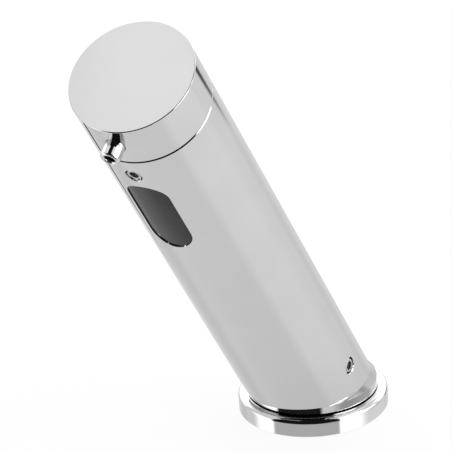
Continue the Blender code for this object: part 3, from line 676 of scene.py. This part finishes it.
# Nozzle: round lip outside, nipple with its ring's bed inside
nozzle = {"height": 184.0 * mm, "radius": 3.1 * mm, "tip": 25.0 * mm, "lip": 0.7 * mm,
          "bore": 1.7 * mm, "boreDepth": 9.0 * mm, "start": 13.4 * mm, "way": 1.0 * mm,
          "nipple": 2.2 * mm, "nippleEnd": 8.3 * mm, "ringBed": 1.75 * mm, "ringAt": 10.7 * mm,
          "ringHalf": 0.45 * mm, "steps": 128, "lipSteps": 12}


def makeNozzle():
    n = nozzle
    tip, lip = n["tip"], n["lip"]
    low, high = n["ringAt"] - n["ringHalf"], n["ringAt"] + n["ringHalf"]
    profile = [(n["way"], n["nippleEnd"]), (n["nipple"], n["nippleEnd"]), (n["nipple"], low),
               (n["ringBed"], low), (n["ringBed"], high), (n["nipple"], high),
               (n["nipple"], n["start"]), (n["radius"], n["start"])]
    profile += arcPoints(n["radius"] - lip, tip - lip, lip, 0, 90, n["lipSteps"])
    profile += arcPoints(n["bore"] + lip, tip - lip, lip, 90, 180, n["lipSteps"])
    profile += [(n["bore"], tip - n["boreDepth"]), (n["way"], tip - n["boreDepth"])]
    piece = turnedPiece("outletNozzle", profile, n["steps"], at(n["height"], facingFront))
    smooth(piece, angle=24)
    dress(piece, "head", "nozzle")


# Lock screws: a threaded rod with both ends chamfered and a hexagon socket outside
lockScrew = {"radius": 2.5 * mm, "low": 16.0 * mm, "high": 19.6 * mm, "chamfer": 0.4 * mm,
             "pitch": 0.8 * mm, "threadDepth": 0.45 * mm, "hexWidth": 2.9 * mm,
             "hexDepth": 1.8 * mm, "sides": 96, "rows": 90}


def screwShape(graph, size):
    length = size["high"] - size["low"]
    rod = graph.add("GeometryNodeMeshCylinder", {"fill_type": "NGON"},
                    {"Vertices": size["sides"], "Side Segments": size["rows"],
                     "Radius": size["radius"], "Depth": length})
    x, y, z = graph.split(graph.add("GeometryNodeInputPosition"))
    height = z + length / 2
    phase = height / size["pitch"] - y.math("ARCTAN2", x) / (2 * pi)
    groove = 1 - (phase.math("WRAP", 1.0, 0.0) * 2 - 1).math("ABSOLUTE")
    radius = size["radius"] - size["threadDepth"] * groove
    endRadius = size["radius"] - size["chamfer"]
    radius = radius.math("MINIMUM", endRadius + height)
    radius = radius.math("MINIMUM", endRadius + length - height)
    scale = radius / size["radius"]
    rod = graph.add("GeometryNodeSetPosition", {},
                    {"Geometry": rod, "Position": graph.place(x * scale, y * scale,
                                                              height + size["low"])})
    hexagon = graph.add("GeometryNodeMeshCylinder", {"fill_type": "NGON"},
                        {"Vertices": 6, "Radius": size["hexWidth"] / (2 * cos(radians(30))),
                         "Depth": size["hexDepth"] * 2})
    hexagon = graph.add("GeometryNodeTransform", {},
                        {"Geometry": hexagon, "Translation": graph.place(0.0, 0.0,
                                                                         size["high"])})
    return graph.add("GeometryNodeMeshBoolean", {"operation": "DIFFERENCE", "solver": "EXACT"},
                     {"Mesh 1": rod, "Mesh 2": [hexagon]})


def makeLockScrew(name, body, node, place):
    piece = grownPiece(name, lockScrew, screwShape, "steel", place)
    smooth(piece, angle=40)
    dress(piece, body, node)


# Soap tube and sensor lead: each swept along its own path inside the tube
soapTube = {"outer": 3.0 * mm, "inner": 2.0 * mm, "behind": 4.5 * mm, "low": 8.97 * mm,
            "high": 175.7 * mm, "past": 1 * mm, "sides": 48}
sensorLead = {"radius": 1.3 * mm, "low": 12.48 * mm, "high": 114.55 * mm,
              "bendLow": 49.75 * mm, "bendHigh": 104.73 * mm, "frontLow": 11.0 * mm,
              "frontHigh": 7.5 * mm, "points": 120, "sides": 20}


def straightPath(graph, behind, low, high):
    return graph.add("GeometryNodeCurvePrimitiveLine", {"mode": "POINTS"},
                     {"Start": graph.place(0.0, behind, low),
                      "End": graph.place(0.0, behind, high)})


def sweptRound(graph, path, radius, sides):
    ring = graph.add("GeometryNodeCurvePrimitiveCircle", {"mode": "RADIUS"},
                     {"Resolution": sides, "Radius": radius})
    return graph.add("GeometryNodeCurveToMesh", {}, {"Curve": path, "Profile Curve": ring,
                                                     "Fill Caps": True})


def soapTubeShape(graph, size):
    outside = straightPath(graph, size["behind"], size["low"], size["high"])
    inside = straightPath(graph, size["behind"], size["low"] - size["past"],
                          size["high"] + size["past"])
    return graph.add("GeometryNodeMeshBoolean", {"operation": "DIFFERENCE", "solver": "EXACT"},
                     {"Mesh 1": sweptRound(graph, outside, size["outer"], size["sides"]),
                      "Mesh 2": [sweptRound(graph, inside, size["inner"], size["sides"])]})


def sensorLeadShape(graph, size):
    path = straightPath(graph, 0.0, size["low"], size["high"])
    path = graph.add("GeometryNodeResampleCurve", {}, {"Curve": path, "Count": size["points"]})
    x, y, height = graph.split(graph.add("GeometryNodeInputPosition"))
    front = graph.span(height, size["bendLow"], size["bendHigh"], size["frontLow"],
                       size["frontHigh"], "SMOOTHSTEP")
    path = graph.add("GeometryNodeSetPosition", {}, {"Geometry": path,
                                                     "Position": graph.place(x, -front,
                                                                             height)})
    return sweptRound(graph, path, size["radius"], size["sides"])


def makeSoapTube():
    piece = grownPiece("soapTube", soapTube, soapTubeShape, "hose", tubeFrame)
    smooth(piece)
    dress(piece, "base", "soap_tube")


def makeSensorLead():
    piece = grownPiece("sensorLead", sensorLead, sensorLeadShape, "leadJacket", tubeFrame)
    smooth(piece, angle=50)
    dress(piece, "base", "sensor_lead")


makeFlange()
makeTube()
makeWindow()
makeHead()
makeNozzle()
makeLockScrew("headLockScrew", "head_screw", "head_lock_screw",
              at(screwHole["headAt"], facingFront))
makeLockScrew("footLockScrew", "foot_screw", "foot_lock_screw",
              at(screwHole["footAt"], facingSide))
makeSoapTube()
makeSensorLead()

# Studio: pale paper underneath, and a room of soft light with black flags in front.
# Each patch: where it starts and ends in turn, then in rise, with how soft each edge is, in
# degrees (0 is in front, 90 to the right; 90 is straight up), and what it adds to the room.
# A flag adds nothing: it brings the light down to flagLevel. Patches and flags that start
# past behindFrom may cross the line straight behind.
studio = {"floorSize": 6.0, "floorDrop": 0.2 * mm, "paper": (0.97, 0.97, 0.97, 1),
          "paperRough": 0.9, "floorShadow": 0.08, "room": 1.0, "flagLevel": 0.012,
          "behindFrom": 130,
          "flags": {"front": ((-36, 66, 2, 2), (-11, 120, 3, 1)),
                    "frontBand": ((-36, 41, 2, 4), (-18.5, -8, 1.5, 2)),
                    "frontLow": ((-36, 66, 2, 2), (-62, -35, 3, 2)),
                    "overhead": ((-112, 112, 8, 8), (71, 120, 2, 1))},
          "patches": {"ceiling": ((-200, 200, 1, 1), (50, 120, 10, 1), 0.31),
                      "leftBox": ((-70, -39, 12, 3), (-45, 9, 6, 8), 1.1),
                      "farLeftBox": ((-126, -92, 5, 4), (0, 38, 5, 5), 1.0),
                      "lowRightBox": ((67, 108, 3, 16), (-35, -21, 2, 3), 1.1),
                      "farRightBox": ((106, 132, 5, 5), (-8, 26, 3, 5), 0.9),
                      "sideLamp": ((64, 112, 4, 6), (-9, 14, 3, 5), 5.0),
                      "rightLamp": ((70, 113, 4, 6), (27, 46, 3, 5), 2.6),
                      "rightWall": ((68, 148, 12, 7), (-22.3, -12, 1.4, 2), -0.5),
                      "backWall": ((161, 178, 2, 3), (-16.75, -6, 0.4, 3), -0.8),
                      "frontFloor": ((-36, 66, 2, 2), (-36, -19, 2, 3), -0.3),
                      "backLamp": ((140, 233, 6, 8), (-2, 38, 6, 5), 1.1),
                      "rightGlow": ((92, 152, 12, 14), (-58, -18, 6, 3), 0.13),
                      "leftDim": ((-165, -100, 6, 12), (-56, -18, 8, 6), -0.16),
                      "limbDim": ((170, 212, 6, 6), (-34, -13, 5, 4), -0.13),
                      "leftLine": ((-131.5, -127.5, 1, 1), (-36.2, -33.0, 0.8, 0.8), -0.85)}}


def makeFloor():
    s = studio
    bm = bmesh.new()
    bmesh.ops.create_grid(bm, x_segments=1, y_segments=1, size=s["floorSize"])
    place = Matrix.Translation((0, 0, -s["floorDrop"]))
    paper = linkMesh("studioFloor", finishMesh("studioFloor", bm, place))
    material = bpy.data.materials.new("studioPaper")
    material.use_nodes = True
    material.node_tree.nodes.clear()
    graph = Graph(material.node_tree)
    seen = graph.add("ShaderNodeLightPath", out="Is Camera Ray")
    lit = graph.add("ShaderNodeBsdfPrincipled", {}, {"Base Color": s["paper"],
                                                     "Roughness": s["paperRough"]})
    white = graph.add("ShaderNodeEmission", {}, {"Color": (1, 1, 1, 1), "Strength": 1.0})
    mixed = graph.add("ShaderNodeMixShader", {}, {0: seen * (1 - s["floorShadow"]), 1: lit,
                                                  2: white})
    graph.add("ShaderNodeOutputMaterial", {}, {"Surface": mixed})
    paper.data.materials.append(material)
    paper.visible_glossy = False


def band(graph, value, low, high, lowBlur, highBlur):
    rising = graph.span(value, low - lowBlur, low + lowBlur, 0.0, 1.0, "SMOOTHSTEP")
    falling = graph.span(value, high - highBlur, high + highBlur, 1.0, 0.0, "SMOOTHSTEP")
    return rising * falling


def makeWorld():
    s = studio
    world = bpy.data.worlds.new("studioWorld")
    world.use_nodes = True
    bpy.context.scene.world = world
    world.node_tree.nodes.clear()
    graph = Graph(world.node_tree)
    x, y, z = graph.split(graph.add("ShaderNodeTexCoord", out="Generated"))
    turn = x.math("ARCTAN2", -y) * (180 / pi)
    backTurn = turn + (turn < 0) * 360      # has no jump straight behind
    rise = z.math("ARCSINE") * (180 / pi)

    def patch(turns, rises):
        across = backTurn if turns[0] > s["behindFrom"] else turn
        return band(graph, across, *turns) * band(graph, rise, *rises)

    level = s["room"]
    for turns, rises, amount in s["patches"].values():
        level = patch(turns, rises) * amount + level
    for turns, rises in s["flags"].values():
        level = graph.add("ShaderNodeMix", {"data_type": "FLOAT"},
                          {"Factor": patch(turns, rises), "A": level, "B": s["flagLevel"]})
    seen = graph.add("ShaderNodeLightPath", out="Is Camera Ray")
    back = graph.add("ShaderNodeBackground", {}, {"Color": (1, 1, 1, 1),
                                                  "Strength": level * (1 - seen) + seen})
    graph.add("ShaderNodeOutputWorld", {}, {"Surface": back})


shot = {"place": (0.52807, -0.99175, 0.58528), "turn": (65.1825, 3.57998, 27.6647),
        "lens": 301.047, "sensor": 36.0, "near": 0.05, "far": 20.0}


def makeCamera():
    camera = bpy.data.objects.new("shotCamera", bpy.data.cameras.new("shotCamera"))
    bpy.context.scene.collection.objects.link(camera)
    camera.data.lens = shot["lens"]
    camera.data.sensor_width = shot["sensor"]
    camera.data.clip_start = shot["near"]
    camera.data.clip_end = shot["far"]
    camera.location = shot["place"]
    camera.rotation_euler = [radians(angle) for angle in shot["turn"]]
    bpy.context.scene.camera = camera


makeFloor()
makeWorld()
makeCamera()
bpy.context.scene.view_settings.view_transform = "Standard"
print("studio ready")
